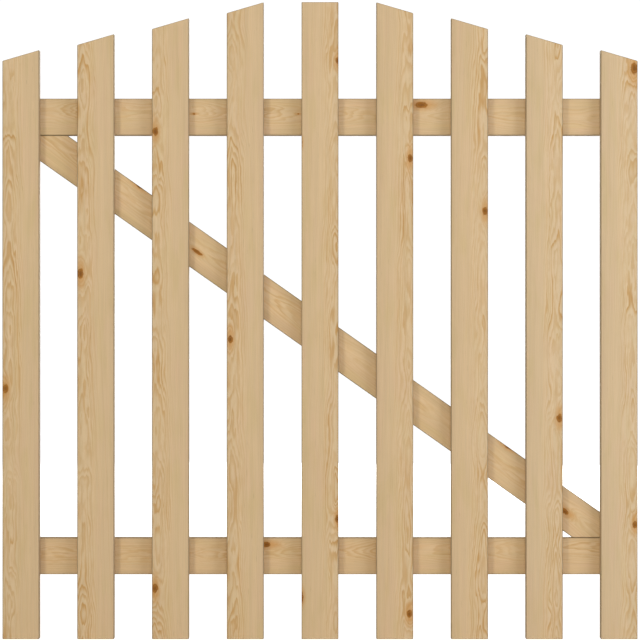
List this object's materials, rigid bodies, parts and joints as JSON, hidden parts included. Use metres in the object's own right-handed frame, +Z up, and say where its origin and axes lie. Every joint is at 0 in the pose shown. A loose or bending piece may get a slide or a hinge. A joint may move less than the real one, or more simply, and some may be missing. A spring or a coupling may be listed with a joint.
{
  "type": "garden gate",
  "caption": "Bare softwood picket gate leaf with an arched top line, rails and a diagonal brace, screwed together from the back.",
  "frame": {"origin": "bottom centre of the leaf, in the plane where the pickets' backs meet the rails", "axes": "+Z up, +X towards the hanging side (the side of the brace's low end), -Y the way the pickets' faces look"},
  "size_m": [0.9972, 0.0362, 1],
  "materials": {
    "picket_pine": "planed, untreated",
    "rail_pine": "planed, untreated",
    "zinc_plated_steel": "yellow-tinged zinc plate"
  },
  "bodies": {
    "root": {"picket_1": "picket_pine", "picket_2": "picket_pine", "picket_3": "picket_pine", "picket_4": "picket_pine", "picket_5": "picket_pine", "picket_6": "picket_pine", "picket_7": "picket_pine", "picket_8": "picket_pine", "picket_9": "picket_pine", "top_rail": "rail_pine", "low_rail": "rail_pine", "brace": "rail_pine", "top_rail_screw_1a": "zinc_plated_steel", "top_rail_screw_1b": "zinc_plated_steel", "low_rail_screw_1a": "zinc_plated_steel", "low_rail_screw_1b": "zinc_plated_steel", "brace_screw_1": "zinc_plated_steel", "top_rail_screw_2a": "zinc_plated_steel", "top_rail_screw_2b": "zinc_plated_steel", "low_rail_screw_2a": "zinc_plated_steel", "low_rail_screw_2b": "zinc_plated_steel", "brace_screw_2": "zinc_plated_steel", "top_rail_screw_3a": "zinc_plated_steel", "top_rail_screw_3b": "zinc_plated_steel", "low_rail_screw_3a": "zinc_plated_steel", "low_rail_screw_3b": "zinc_plated_steel", "brace_screw_3": "zinc_plated_steel", "top_rail_screw_4a": "zinc_plated_steel", "top_rail_screw_4b": "zinc_plated_steel", "low_rail_screw_4a": "zinc_plated_steel", "low_rail_screw_4b": "zinc_plated_steel", "brace_screw_4": "zinc_plated_steel", "top_rail_screw_5a": "zinc_plated_steel", "top_rail_screw_5b": "zinc_plated_steel", "low_rail_screw_5a": "zinc_plated_steel", "low_rail_screw_5b": "zinc_plated_steel", "brace_screw_5": "zinc_plated_steel", "top_rail_screw_6a": "zinc_plated_steel", "top_rail_screw_6b": "zinc_plated_steel", "low_rail_screw_6a": "zinc_plated_steel", "low_rail_screw_6b": "zinc_plated_steel", "brace_screw_6": "zinc_plated_steel", "top_rail_screw_7a": "zinc_plated_steel", "top_rail_screw_7b": "zinc_plated_steel", "low_rail_screw_7a": "zinc_plated_steel", "low_rail_screw_7b": "zinc_plated_steel", "brace_screw_7": "zinc_plated_steel", "top_rail_screw_8a": "zinc_plated_steel", "top_rail_screw_8b": "zinc_plated_steel", "low_rail_screw_8a": "zinc_plated_steel", "low_rail_screw_8b": "zinc_plated_steel", "brace_screw_8": "zinc_plated_steel", "top_rail_screw_9a": "zinc_plated_steel", "top_rail_screw_9b": "zinc_plated_steel", "low_rail_screw_9a": "zinc_plated_steel", "low_rail_screw_9b": "zinc_plated_steel", "brace_screw_9": "zinc_plated_steel"}
  },
  "joints": []
}
